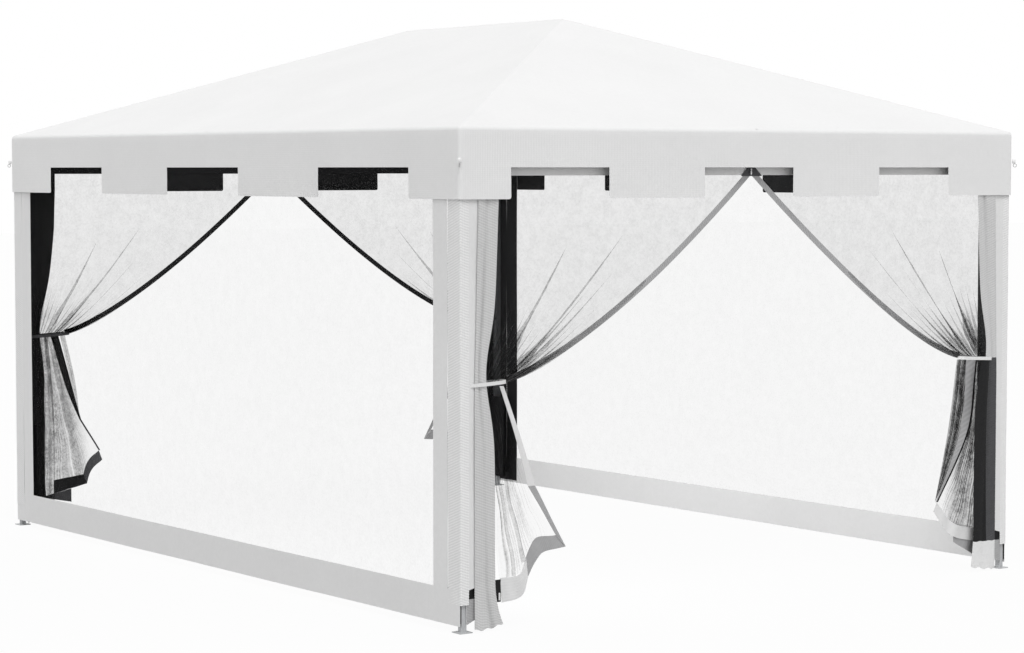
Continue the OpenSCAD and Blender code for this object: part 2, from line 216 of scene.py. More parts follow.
class Nodes:
    """Short forms for building a node tree."""

    def __init__(self, name):
        self.mat = bpy.data.materials.new(name)
        self.mat.use_nodes = True
        self.tree = self.mat.node_tree
        self.bsdf = self.tree.nodes["Principled BSDF"]

    def node(self, kind, **inputs):
        n = self.tree.nodes.new(kind)
        for key, value in inputs.items():
            n.inputs[key.replace("_", " ")].default_value = value
        return n

    def link(self, a, b):
        self.tree.links.new(a, b)

    def math(self, op, a, b=None, c=None):
        n = self.tree.nodes.new("ShaderNodeMath")
        n.operation = op
        for i, v in enumerate([a, b, c]):
            if v is None:
                continue
            if isinstance(v, (int, float)):
                n.inputs[i].default_value = v
            else:
                self.link(v, n.inputs[i])
        return n.outputs[0]

    def coords(self, kind="Object"):
        n = self.tree.nodes.new("ShaderNodeTexCoord")
        s = self.tree.nodes.new("ShaderNodeSeparateXYZ")
        self.link(n.outputs[kind], s.inputs[0])
        return n.outputs[kind], s.outputs

    def noise(self, vector, scale, detail=3.0, rough=0.5):
        n = self.node("ShaderNodeTexNoise", Scale=scale, Detail=detail, Roughness=rough)
        self.link(vector, n.inputs["Vector"])
        return n.outputs["Fac"]

    def ramp(self, fac, low, high, a, b):
        n = self.tree.nodes.new("ShaderNodeMapRange")
        n.inputs["From Min"].default_value = low
        n.inputs["From Max"].default_value = high
        n.inputs["To Min"].default_value = a
        n.inputs["To Max"].default_value = b
        self.link(fac, n.inputs["Value"])
        return n.outputs[0]

    def tint(self, factor, colour):
        n = self.tree.nodes.new("ShaderNodeMix")
        n.data_type = "RGBA"
        n.blend_type = "MULTIPLY"
        n.inputs[0].default_value = 1.0
        n.inputs[6].default_value = (*colour, 1)
        c = self.tree.nodes.new("ShaderNodeCombineColor")
        for i in range(3):
            self.link(factor, c.inputs[i])
        self.link(c.outputs[0], n.inputs[7])
        return n.outputs[2]

    def bump(self, height, distance, strength=1.0):
        n = self.node("ShaderNodeBump", Strength=strength, Distance=distance)
        self.link(height, n.inputs["Height"])
        self.link(n.outputs[0], self.bsdf.inputs["Normal"])

    def wave(self, coordinate, pitch):
        """A sine of the coordinate from 0 to 1."""
        s = self.math("SINE", self.math("MULTIPLY", coordinate, math.tau / pitch))
        return self.math("MULTIPLY_ADD", s, 0.5, 0.5)


def cloth(name, colour, pitch, depth, bump, rough=0.75, sheen=0.1, chevron=0.0):
    """Woven cloth: warp and weft from the metric UV map, with slow uneven shade.
    A piece's "cover" darkens its creases, and chevron draws slanted ribs RIB_PITCH apart."""
    m = Nodes(name)
    m.bsdf.inputs["Roughness"].default_value = rough
    m.bsdf.inputs["Sheen Weight"].default_value = sheen
    m.bsdf.inputs["Sheen Roughness"].default_value = 0.5
    m.bsdf.inputs["Specular IOR Level"].default_value = 0.25
    where, _ = m.coords("Object")
    _, uv = m.coords("UV")
    warp = m.wave(uv[0], pitch)
    weft = m.wave(uv[1], pitch)
    weave = m.math("MULTIPLY_ADD", m.math("MULTIPLY", warp, weft), 0.6, m.math("MULTIPLY", warp, 0.4))
    slow = m.noise(where, 2.3, 4.0)
    threads = m.noise(where, 55.0, 2.0)
    shade = m.math("MULTIPLY", m.ramp(weave, 0, 1, 1 - depth, 1), m.ramp(slow, 0.3, 0.7, 0.97, 1))
    shade = m.math("MULTIPLY", shade, m.ramp(threads, 0.3, 0.7, 1 - depth * 0.5, 1))
    crease = m.tree.nodes.new("ShaderNodeAttribute")
    crease.attribute_name = "cover"
    shade = m.math("MULTIPLY", shade, m.math("SUBTRACT", 1.0, crease.outputs["Fac"]))
    if chevron:
        slanted = m.math("MULTIPLY_ADD", m.math("ABSOLUTE", uv[0]), RIB_SLANT, uv[1])
        shade = m.math("MULTIPLY", shade, m.ramp(m.wave(slanted, RIB_PITCH), 0.1, 0.9, 1 - chevron, 1))
    m.link(m.tint(shade, colour), m.bsdf.inputs["Base Color"])
    m.bump(m.math("ADD", weave, m.math("MULTIPLY", threads, 0.5)), bump)
    return m.mat


def net(name, colour):
    """Fine net: threads cover a share of the surface that rises where the net is gathered."""
    m = Nodes(name)
    m.bsdf.inputs["Roughness"].default_value = 0.7
    m.bsdf.inputs["Specular IOR Level"].default_value = 0.2
    _, uv = m.coords("UV")
    where, _ = m.coords("Object")
    cover = m.tree.nodes.new("ShaderNodeAttribute")
    cover.attribute_name = "cover"
    cell = m.math("MAXIMUM", m.wave(uv[0], NET_PITCH), m.wave(uv[1], NET_PITCH))
    cell = m.ramp(cell, 0.5, 1, 0.7, 1.3)
    streak = m.noise(where, 24.0, 3.0)
    cell = m.math("MULTIPLY", cell, m.ramp(streak, 0.3, 0.7, 0.8, 1.2))
    cell = m.math("MULTIPLY", cell, m.ramp(m.noise(where, 90.0, 1.0), 0.35, 0.65, 0.84, 1.16))
    alpha = m.math("MULTIPLY", cover.outputs["Fac"], cell)
    m.link(m.math("MINIMUM", alpha, 1.0), m.bsdf.inputs["Alpha"])
    m.link(m.tint(m.ramp(streak, 0.3, 0.7, 0.8, 1), colour), m.bsdf.inputs["Base Color"])
    return m.mat


def coated(name, colour, rough, metallic=0.0, grain=400.0, bump=0.00008, wear=0.08):
    """Painted metal or moulded plastic with fine grain and uneven gloss."""
    m = Nodes(name)
    m.bsdf.inputs["Metallic"].default_value = metallic
    where, _ = m.coords("Object")
    fine = m.noise(where, grain, 2.0)
    slow = m.noise(where, 6.0, 4.0)
    m.link(m.tint(m.ramp(slow, 0.3, 0.7, 1 - wear, 1), colour), m.bsdf.inputs["Base Color"])
    m.link(m.ramp(slow, 0.3, 0.7, rough * 0.85, rough * 1.15), m.bsdf.inputs["Roughness"])
    m.bump(fine, bump)
    return m.mat


WHITE = (0.83, 0.83, 0.83)
ROOF = cloth("roof_cloth_white", WHITE, 0.008, 0.03, 0.0003)
LINING = cloth("cloth_black_coating", (0.008, 0.008, 0.009), 0.006, 0.3, 0.0003, 0.6, 0.0)
TAPE = cloth("tape_white", WHITE, 0.005, 0.05, 0.0003)
RIBBED = cloth("ribbed_tape", (0.93, 0.93, 0.93), 0.011, 0.06, 0.0004, chevron=0.13)
STRIP = cloth("ribbed_strip", (0.70, 0.70, 0.70), 0.011, 0.06, 0.0004, chevron=0.14)
WEBBING = cloth("webbing_grey", (0.62, 0.62, 0.62), 0.002, 0.25, 0.0003)
TRIM = cloth("edge_tape_grey", (0.50, 0.50, 0.505), 0.003, 0.12, 0.0003, chevron=0.15)
FOLDED = cloth("cloth_grey_underside", (0.085, 0.085, 0.09), 0.006, 0.2, 0.0003, 0.7, 0.0)
NET = net("mosquito_net", (0.025, 0.025, 0.025))
TUBE = coated("dark_grey_painted_steel", (0.075, 0.077, 0.08), 0.45)
FOOT = coated("zinc_plated_steel", (0.52, 0.53, 0.54), 0.36, 0.1)
BARS = coated("silver_painted_steel", (0.55, 0.56, 0.57), 0.38, 0.2)
PLASTIC = coated("dark_moulded_plastic", (0.03, 0.03, 0.033), 0.5, 0.0, 900.0, 0.00005, 0.2)
PULL = coated("white_moulded_plastic", (0.85, 0.85, 0.85), 0.35, 0.0, 900.0, 0.00003, 0.04)

for node, obj in frame["nodes"].items():
    kind = PLASTIC
    if node.startswith("leg_inner"):
        kind = FOOT
    elif node.startswith("leg_outer"):
        kind = TUBE
    elif "_bar_" in node or node.startswith(("rafter", "peak_post", "ridge_bar")):
        kind = BARS
    elif node == "guy_loops":
        kind = WEBBING
    obj.data.materials.clear()
    obj.data.materials.append(kind)


# Mesh helpers
def piece(name, points, faces, mats, which=None, uvs=None, cover=None):
    """A mesh object from points, faces, one material index a face and one metric UV a point."""
    mesh = bpy.data.meshes.new(name)
    mesh.from_pydata([tuple(p) for p in points], [], [tuple(f) for f in faces])
    for m in mats:
        mesh.materials.append(m)
    if which is not None:
        mesh.polygons.foreach_set("material_index", list(which))
    if uvs is not None:
        layer = mesh.uv_layers.new(name="UVMap")
        loops = np.zeros(len(mesh.loops), np.int32)
        mesh.loops.foreach_get("vertex_index", loops)
        layer.data.foreach_set("uv", np.array(uvs, np.float32)[loops].ravel())
    if cover is not None:
        attribute = mesh.attributes.new("cover", "FLOAT", "POINT")
        attribute.data.foreach_set("value", np.array(cover, np.float32))
    mesh.polygons.foreach_set("use_smooth", [True] * len(mesh.polygons))
    mesh.update()
    obj = bpy.data.objects.new(name, mesh)
    bpy.context.scene.collection.objects.link(obj)
    return obj


class Sheets:
    """Collects grids of points into one mesh, each with a front and, where wanted, a lining behind it."""

    def __init__(self):
        self.points, self.faces, self.which, self.uvs, self.cover = [], [], [], [], []

    def grid(self, rows, uv, front=0, back=None, gap=CLOTH_T, cover=0.0, flip=False):
        """rows[i][j] are points; front looks along (j step) x (i step). The lining lies gap behind it.
        Its rim has points of its own, so that its shade doesn't run into the cloth's."""
        p = np.array(rows, float)
        n, k = p.shape[:2]
        uv = np.array(uv, float)
        cover = np.broadcast_to(np.array(cover, float), (n, k))
        du = np.gradient(p, axis=1)
        dv = np.gradient(p, axis=0)
        normal = np.cross(du, dv)
        normal /= np.maximum(np.linalg.norm(normal, axis=2, keepdims=True), 1e-12)
        if flip:
            normal = -normal
        layers = [(p, front, flip)]
        if back is not None:
            layers.append((p - normal * gap, back, not flip))
        starts = []
        for q, mat, turned in layers:
            s = len(self.points)
            starts.append(s)
            self.points += [tuple(v) for v in q.reshape(-1, 3)]
            self.uvs += [tuple(v) for v in uv.reshape(-1, 2)]
            self.cover += list(cover.ravel())
            for i in range(n - 1):
                for j in range(k - 1):
                    a = s + i * k + j
                    f = [a, a + 1, a + k + 1, a + k]
                    self.faces.append(f[::-1] if turned else f)
                    self.which.append(mat)
        if back is None:
            return
        ring = list(range(k)) + [i * k + k - 1 for i in range(1, n)]
        ring += [(n - 1) * k + j for j in range(k - 2, -1, -1)] + [i * k for i in range(n - 2, 0, -1)]
        s = len(self.points)
        for start in starts:
            self.points += [self.points[start + r] for r in ring]
            self.uvs += [self.uvs[start + r] for r in ring]
            self.cover += [0.0] * len(ring)
        for i in range(len(ring)):
            t = (i + 1) % len(ring)
            f = [s + t, s + i, s + len(ring) + i, s + len(ring) + t]
            self.faces.append(f[::-1] if flip else f)
            self.which.append(front)

    def patch(self, across, down, at, front=0, back=None, gap=CLOTH_T, flip=False):
        """A grid of at(u, v) for u in across and v in down: a point, its UV and, if it has one, cover."""
        cells = [[(*at(u, v), 0.0)[:3] for u in across] for v in down]
        rows, uv, cover = ([[cell[k] for cell in line] for line in cells] for k in range(3))
        self.grid(rows, uv, front, back, gap, cover, flip)

    def build(self, name, mats):
        return piece(name, self.points, self.faces, mats, self.which, self.uvs, self.cover)


def wander(x, y, z, size, seed=0.0):
    """Smooth noise from -1 to 1 with features of the given size."""
    return noise.noise(Vector((x / size + seed, y / size - seed * 0.7, z / size + 3.1 * seed)))


# Roof
ROLL_R = 0.020
PITCH_X = math.atan(SLOPE_X)
ROLL_IN = ROLL_R * math.tan((math.pi / 2 - PITCH_X) / 2) * math.cos(PITCH_X)
ROOF_SAG = 0.012
ROOF_DRAG = 0.0018


def roof_z(x, y):
    """Height of the roof cloth: four planes, a slight sag between hips and eaves, and faint drag lines."""
    a, b = SLOPE_X * (EAVE_X - abs(x)), SLOPE_Y * (EAVE_Y - abs(y))
    low, far = min(a, b), abs(a - b)
    t = low / (RIDGE_H - EAVE_H)
    belly = 4 * t * (1 - t)
    s = (x * 0.55 + y * 0.83) if a < b else (y * 0.3 + x * 0.95)
    drag = ROOF_DRAG * wander(s, (x - y) * 0.18, 0, 0.10, 4.0) * min(1.0, far / 0.06) * belly
    return EAVE_H + low - ROOF_SAG * belly * min(1.0, far / 0.15) + drag


def roof_wedges(corner):
    """Fan of cloth gores from one eave corner, each folding along its own length."""
    sx, sy = SIGNS[corner]
    start = np.array([EAVE_X - ROLL_IN, EAVE_Y - ROLL_IN])
    # The far border runs from the middle of one eave, along both centre lines, to the middle of the other
    on_x = [(0.0, start[1] - d) for d in (0, 0.45, 0.92)] + [(0.0, RIDGE_HALF), (0.0, 0.32), (0.0, 0.0)]
    on_y = [(0.42, 0.0), (0.84, 0.0), (start[0], 0.0)]
    stops = [np.array(p) for p in on_x + on_y]
    for k, (a, b) in enumerate(zip(stops, stops[1:])):
        wide = max(6, int(np.linalg.norm(b - a) / 0.03))

        def at(j, t):
            x, y = start + (a + (b - a) * j / wide - start) * t**0.8
            return (sx * x, sy * y, roof_z(x * sx, y * sy)), (sx * x, sy * y)

        sheets = Sheets()
        sheets.patch(range(wide + 1), spaced(0, 1, 60), at, 0, 1, CLOTH_T, sx * sy > 0)
        obj = sheets.build(f"roof_cloth_{corner}_{k + 1}", [ROOF, LINING])
        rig.ride(obj, "leg_" + corner)
        edge = a if k < 3 else b
        d = start - edge
        keep = FOLD_KEEP_X if edge[0] == 0 else FOLD_KEEP_Y
        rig.squash(obj, "frame_fold", (sx * d[0], sy * d[1], 0), (sx * EAVE_X, sy * EAVE_Y, EAVE_H), keep)
        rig.replaces(obj, "canopy")
        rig.slot(obj, "roof_cloth")
        area = abs((a[0] - start[0]) * (b[1] - start[1]) - (a[1] - start[1]) * (b[0] - start[0])) / 2
        long_side = max(np.linalg.norm(a - start), np.linalg.norm(b - start))
        flat = (2 * area / long_side * 1.05, long_side * 1.05)
        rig.sheet(obj, flat, "stretched", ["rafter_outer_" + corner], area=area * 1.06)


# Valance: each half side hangs from its own leg
CORNER_R = 0.018
TAB_R = 0.010


def cut_edges(along_x, near_start, length):
    """Start and end of each cutout on one half, as distances from its corner."""
    edges = []
    for a, b in SHORT_CUTS if along_x else LONG_CUTS:
        # Shares run from the left or the front; the opposite side is its mirror image
        if not near_start:
            a, b = 1 - b, 1 - a
        if a * length < length / 2:
            edges.append((a * length, min(b * length, length / 2)))
    return sorted(edges)


def valance(corner, along_x):
    """Half of one side's valance, from its corner to the side's middle, with the cutouts between its tabs."""
    sx, sy = SIGNS[corner]
    half = EAVE_X if along_x else EAVE_Y
    edges = cut_edges(along_x, (sx if along_x else sy) < 0, 2 * half)
    arc = CORNER_R * math.pi / 4

    def place(d, s_in, z):
        """d along the side from the corner, s_in inward from the face."""
        if d < arc:
            r = CORNER_R - min(s_in, CORNER_R * 0.95)
            ang = (1 - d / arc) * math.pi / 4
            along, into = CORNER_R - r * math.sin(ang), CORNER_R - r * math.cos(ang)
        else:
            along, into = CORNER_R + (d - arc), s_in
        if z < EAVE_H:
            t = (EAVE_H - z) / VALANCE_H
            w = d * (1 if along_x else -1) + (3 if sy > 0 else 0) + (7 if sx > 0 else 0)
            sway = 0.005 * t * wander(w, z * 0.4, 0, 0.22, 1.7) + 0.0015 * t * wander(w, z, 0, 0.05, 9.1)
            into -= sway * min(1.0, max(0.0, (d - 0.02) / 0.1))
        if along_x:
            return (sx * (half - along), sy * (EAVE_Y - into), z)
        return (sx * (EAVE_X - into), sy * (half - along), z)

    # Profile of the whole upper band: upright, then rolled over the eave into the roof
    turn = math.pi / 2 - math.atan(SLOPE_Y if along_x else SLOPE_X)
    roll_low = EAVE_H - ROLL_R * math.tan(turn / 2)
    cut_z = VALANCE_LOW + CUTOUT_H
    roll = [(ROLL_R * (1 - math.cos(ang)), roll_low + ROLL_R * math.sin(ang)) for ang in spaced(0, turn, 6)]
    end_scale = ROLL_IN / roll[-1][0]
    band = [(0.0, z) for z in spaced(cut_z, roll_low, 6)[:-1]] + [(s * end_scale, z) for s, z in roll]

    # Columns: five steps round the corner, then even steps between the cutouts' edges
    ds = {half, *spaced(0, arc, 5)}
    stops = sorted({0.0, half, *[e for ab in edges for e in ab]})
    for a, b in zip(stops, stops[1:]):
        ds.update(d for d in spaced(a, b, max(2, int((b - a) / 0.02)))[:-1] if d > arc)
    sheets = Sheets()
    flip = (sx * sy > 0) != along_x
    sheets.patch(sorted(ds), band, lambda d, sz: (place(d, *sz), (d, sz[1])), 0, 1, CLOTH_T, flip)

    def tab(a, b):
        """One tab below the band; its lower corners beside a cutout are rounded."""
        ends = [end for end in (a, b) if 0 < end < half]
        cols = {a, b, *[d for d in ds if a < d < b and all(abs(d - end) > TAB_R for end in ends)]}
        for end in ends:
            way = 1 if end == a else -1
            cols.update(end + way * TAB_R * (1 - math.cos(ang)) for ang in spaced(0, math.pi / 2, 4))

        def at(d, t):
            near = min([TAB_R] + [abs(d - end) for end in ends])
            low = VALANCE_LOW + TAB_R - math.sqrt(TAB_R**2 - (TAB_R - near) ** 2)
            z = low + (cut_z - low) * t
            return place(d, 0.0, z), (d, z)

        sheets.patch(sorted(cols), spaced(0, 1, 6), at, 0, 1, CLOTH_T, flip)

    start = 0.0
    for a, b in edges + [(half, half)]:
        if a > start:
            tab(start, a)
        start = b
    side = ("front" if sy < 0 else "rear") if along_x else ("left" if sx < 0 else "right")
    obj = sheets.build(f"valance_{side}_at_{corner}", [ROOF, LINING])
    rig.ride(obj, "leg_" + corner)
    axis = (1, 0, 0) if along_x else (0, 1, 0)
    keep = FOLD_KEEP_X if along_x else FOLD_KEEP_Y
    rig.squash(obj, "frame_fold", axis, (sx * EAVE_X, sy * EAVE_Y, EAVE_H), keep)
    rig.replaces(obj, "canopy")
    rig.slot(obj, "roof_cloth")
    cut_area = sum((b - a) * CUTOUT_H for a, b in edges)
    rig.sheet(obj, (half, VALANCE_H + 0.01), "hung", ["corner_bracket_" + corner],
             area=half * VALANCE_H - cut_area)


for corner in CORNERS:
    roof_wedges(corner)
    valance(corner, True)
    valance(corner, False)


# Closed net walls on the long sides, one half to each leg
WALL_STEP = 0.05
WALL_COVER = 0.075
WALL_TAPE_OUT = 0.0010
BAND_H, WALL_TAPE_W, SLEEVE_W, HEADER_H = 0.143, 0.100, 0.090, 0.090


def wall_half(corner):
    """Half of a long side's wall: net, bottom band, top and side tapes, and lining behind the band's end."""
    sx, sy = SIGNS[corner]
    low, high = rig.box("mesh_wall_" + ("left" if sx < 0 else "right"))
    x = (abs(low.x) + abs(high.x)) / 2
    y_end = high.y
    z0, z1 = low.z, high.z
    sheets = Sheets()

    def layer(ya, yb, za, zb, front, back, out, cover=0.0, ripple=0.0):
        """One rectangle of cloth from ya to yb and za to zb, set out from the wall's plane."""
        def at(y, z):
            w = 0.004 * wander(y * sy + sx * 5, z, 0, 0.6, 2.0) + ripple * wander(y, z, 0, 0.12, 6.0)
            w *= min(1.0, y / 0.1)
            return (sx * (x + out - w), sy * y, z), (y, z), cover

        ys = spaced(ya, yb, max(2, int(abs(yb - ya) / WALL_STEP)))
        zs = spaced(za, zb, max(2, int((zb - za) / WALL_STEP)))
        sheets.patch(ys, zs, at, front, back, TAPE_T, sx * sy < 0)

    net_end, hem_end = y_end - SLEEVE_W, y_end - 0.004
    tape_start, band_top = net_end - WALL_TAPE_W, z0 + BAND_H
    layer(0.0, net_end, z0, z1, 2, None, 0.0, cover=WALL_COVER)
    layer(0.0, hem_end, z0, band_top, 0, 0, WALL_TAPE_OUT, ripple=0.0006)
    layer(0.0, net_end, z1 - HEADER_H, z1, 0, 1, WALL_TAPE_OUT)
    layer(tape_start, net_end, band_top, z1 - HEADER_H, 0, 1, WALL_TAPE_OUT)
    layer(tape_start, hem_end, z0 + 0.012, band_top + 0.004, 1, 1, -0.0022)
    side = "left" if sx < 0 else "right"
    obj = sheets.build(f"mesh_wall_{side}_at_{corner}", [TAPE, LINING, NET])
    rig.ride(obj, "leg_" + corner)
    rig.squash(obj, "frame_fold", (0, 1, 0), (sx * x, sy * y_end, z0), FOLD_KEEP_Y)
    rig.replaces(obj, "mesh_wall_" + side)
    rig.slot(obj, "mesh_cloth")
    # The tapes are a second and third layer over the net
    width, height = net_end, z1 - z0
    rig.sheet(obj, (width, height * 1.5), "stretched", ["leg_outer_" + corner], area=width * height * 1.4)


for corner in CORNERS:
    wall_half(corner)


# Tied curtains on the short sides. d is the distance inward from the leg's axis along the side,
# e the distance inward from the side's plane
def inward(corner, d, e, z):
    """The place d and e inward from the corner's leg axis, at height z."""
    sx, sy = SIGNS[corner]
    return (sx * (LEG_X - d), sy * (LEG_Y - e), z)


# strap holds the ends of the tie, wide what the hanging strip has more at its top, and a pleat its place
# across, its top and its half width
CURTAINS = {
    "front_left": dict(
        tie_z=0.985, tie_in=0.085, tie_out=0.235, power=1.38, strap=(0.015, 0.205), turned=False, wide=0.0,
        seed=1.0, pleats=[(0.44, 0.68, 0.024), (0.67, 0.75, 0.020), (0.76, 0.60, 0.005), (0.70, 0.52, 0.004),
                          (0.84, 0.47, 0.005), (0.93, 0.36, 0.009), (0.25, 0.40, 0.010)]),
    "front_right": dict(
        tie_z=0.975, tie_in=0.055, tie_out=0.245, power=1.30, strap=(0.070, 0.267), turned=True, wide=0.0,
        seed=2.3, pleats=[(0.33, 0.62, 0.022), (0.55, 0.74, 0.018), (0.62, 0.56, 0.006), (0.74, 0.66, 0.010),
                          (0.85, 0.45, 0.008), (0.94, 0.34, 0.008)]),
    "rear_left": dict(
        tie_z=0.975, tie_in=0.065, tie_out=0.245, power=1.34, strap=(0.041, 0.270), turned=False, wide=0.055,
        seed=4.1, pleats=[(0.38, 0.60, 0.018), (0.58, 0.70, 0.014), (0.70, 0.52, 0.006),
                          (0.86, 0.44, 0.008)]),
    "rear_right": dict(
        tie_z=0.975, tie_in=0.065, tie_out=0.235, power=1.34, strap=(0.020, 0.215), turned=False, wide=0.0,
        seed=5.7, pleats=[(0.42, 0.64, 0.020), (0.62, 0.70, 0.014), (0.76, 0.55, 0.006),
                          (0.90, 0.40, 0.008)]),
}

# The tail below each tie, as edges of a few hand-chosen points (d, z) that are eased into curves. A net
# layer has a leg side, a free side and a foot, its cover, a bare corner's cover, and bands of folded net
# (place across, half width, cover). depth sets it inward of the curtain's plane, and deep is the height of
# its folds. Tapes lie beside an edge and hems below it
TAIL_TOP = 0.97


def beside(line, start, end):
    """The line moved outward along the side by a width that runs from start to end."""
    return [(d + start + (end - start) * k / (len(line) - 1), z) for k, (d, z) in enumerate(line)]


def below(line, start, end, out=0.0, out_end=None):
    """The line lowered by a drop that runs from start to end, and moved outward by one that may run too."""
    lowered = [(d, z - start - (end - start) * k / (len(line) - 1)) for k, (d, z) in enumerate(line)]
    return beside(lowered, out, out if out_end is None else out_end)


def net_layer(leg, free, foot, cover, bare, depth, deep, bands):
    return dict(leg=leg, free=free, foot=foot, cover=cover, bare=bare, depth=depth, deep=deep, bands=bands)


def open_tail():
    """Spread like a fan, with a free corner that kicks out."""
    leg = [(0.12, TAIL_TOP), (0.16, 0.45), (0.19, 0.20)]
    free = [(0.19, TAIL_TOP), (0.27, 0.75), (0.33, 0.56), (0.47, 0.35)]
    foot = [(0.19, 0.20), (0.29, 0.21), (0.32, 0.27), (0.36, 0.34), (0.47, 0.35)]
    bands = [(0.13, 0.035, 0.36), (0.22, 0.02, 0.30), (0.46, 0.035, 0.34), (0.66, 0.006, 0.25),
             (0.72, 0.005, 0.22)]
    return dict(
        nets=[net_layer(leg, free, foot, 0.07, 0.04, 0.0, 0.0095, bands)],
        tapes=[(beside(free[:3], 0.02, 0.035), free[:3], 0),
               (below(free[2:], 0.0, 0.05, 0.035, 0.05), free[2:], 3)],
        hems=[(foot[:3], below(foot[:3], 0.10, 0.08, 0.01), 0),
              (foot[2:], below(foot[2:], 0.08, 0.05, 0.01, 0.05), 3)])


def crossed_tail():
    """Two layers that cross, so that the free edge runs down the middle."""
    middle = [(0.15, TAIL_TOP), (0.20, 0.65), (0.29, 0.48), (0.39, 0.33)]
    back_edge = [(0.26, TAIL_TOP), (0.31, 0.66), (0.39, 0.33)]
    back_bands = [(0.25, 0.05, 0.64), (0.60, 0.06, 0.62), (0.85, 0.05, 0.48)]
    foot = [(0.11, 0.19), (0.29, 0.23), (0.39, 0.33)]
    bands = [(0.10, 0.05, 0.62), (0.30, 0.03, 0.30), (0.42, 0.03, 0.58), (0.55, 0.02, 0.24),
             (0.62, 0.03, 0.55)]
    under = [(0.05, 0.13), (0.28, 0.18)]
    return dict(
        nets=[net_layer(middle, back_edge, [middle[-1]] * 2, 0.56, 0.56, 0.006, 0.006, back_bands),
              net_layer([(0.09, TAIL_TOP), foot[0]], middle, foot, 0.56, 0.05, 0.0, 0.005, bands)],
        tapes=[(beside(middle, 0.06, 0.005), middle, 3), (middle, beside(middle, -0.01, -0.01), 1)],
        hems=[(foot, below(foot, 0.06, 0.04, 0.02), 0), (under, below(under, 0.11, 0.04), 3)])


def layered_tail():
    """A narrow fold at the leg, a fan, and a short loop of net beside the tie."""
    fold_low = [(0.06, 0.10), (0.17, 0.09)]
    fold_edge = [(0.14, TAIL_TOP), (0.17, 0.60), fold_low[1]]
    fold_bands = [(0.15, 0.06, 0.66), (0.42, 0.04, 0.60), (0.92, 0.05, 0.64)]
    leg = [(0.12, TAIL_TOP), (0.17, 0.45), (0.17, 0.22)]
    free = [(0.18, TAIL_TOP), (0.29, 0.60), (0.43, 0.36)]
    foot = [(0.17, 0.22), (0.34, 0.24), (0.36, 0.30), (0.43, 0.36)]
    bands = [(0.10, 0.04, 0.55), (0.33, 0.02, 0.14), (0.55, 0.03, 0.52), (0.70, 0.02, 0.50)]
    loop_low = (0.32, 0.53)
    loop_edge = [(0.24, TAIL_TOP), (0.30, 0.70), loop_low]
    loop_bands = [(0.5, 0.15, 0.5)]
    edge = [(0.16, TAIL_TOP), (0.27, 0.64), loop_low]
    lower = [loop_low, (0.43, 0.36)]
    under = [(0.12, 0.14), (0.27, 0.17)]
    return dict(
        nets=[net_layer([(0.08, TAIL_TOP), fold_low[0]], fold_edge, fold_low, 0.50, 0.50, 0.006, 0.006,
                        fold_bands),
              net_layer(leg, free, foot, 0.48, 0.05, 0.0, 0.006, bands),
              net_layer([(0.21, TAIL_TOP), loop_low], loop_edge, [loop_low] * 2, 0.40, 0.40, 0.004, 0.004,
                        loop_bands)],
        tapes=[(beside(edge, 0.045, 0.01), edge, 1), (beside(lower, 0.01, 0.01), lower, 4)],
        hems=[(foot[:2], below(foot[:2], 0.07, 0.05, 0.0, 0.02), 1),
              (foot[1:], below(foot[1:], 0.05, 0.05, 0.02), 4),
              (under, below(under, 0.01, 0.07), 4)])


TAILS = {"front_left": open_tail(), "rear_right": open_tail(),
         "front_right": crossed_tail(), "rear_left": layered_tail()}
NET_COVER = 0.155
PLEAT_COVER = 0.42
CURTAIN_FOLDS, STEEPEST_FOLD = 15, 5.0
EDGE_TAPE_W = 0.026
HEADER_LOW = VALANCE_LOW + CUTOUT_H - 0.033
CURTAIN_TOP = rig.box("curtain_front_left")[1].z
CURTAIN_E = LEG_Y + (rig.box("curtain_front_left")[0].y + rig.box("curtain_front_left")[1].y) / 2
LEG_GAP_D = 0.085
MIDDLE_D = LEG_X - 0.002


def fold_depth(wide):
    """Depth of the folds that take up the spare cloth where the curtain is drawn in to this width."""
    spare = (MIDDLE_D - LEG_GAP_D) / max(wide, 0.01)
    slope = min(STEEPEST_FOLD, 1.3 * math.sqrt(max(spare**2 - 1, 0)))
    return slope * wide / CURTAIN_FOLDS / math.tau


def fold_wave(a, seed):
    return math.sin(math.tau * CURTAIN_FOLDS * a + seed + 1.3 * math.sin(math.tau * 2.3 * a + seed))


def along(line, t):
    """The point at a share t of a line's length, eased between its own points."""
    q = np.array(line, float)
    run = np.concatenate([[0], np.cumsum(np.linalg.norm(np.diff(q, axis=0), axis=1) + 1e-6)])
    t = np.clip(t, 0, 1) * run[-1]
    slope = np.gradient(q, run, axis=0)
    k = min(int(np.searchsorted(run, t, "right")) - 1, len(run) - 2)
    h = run[k + 1] - run[k]
    x = (t - run[k]) / h
    return (q[k] * (2 * x**3 - 3 * x**2 + 1) + q[k + 1] * (3 * x**2 - 2 * x**3)
            + h * slope[k] * (x**3 - 2 * x**2 + x) + h * slope[k + 1] * (x**3 - x**2))


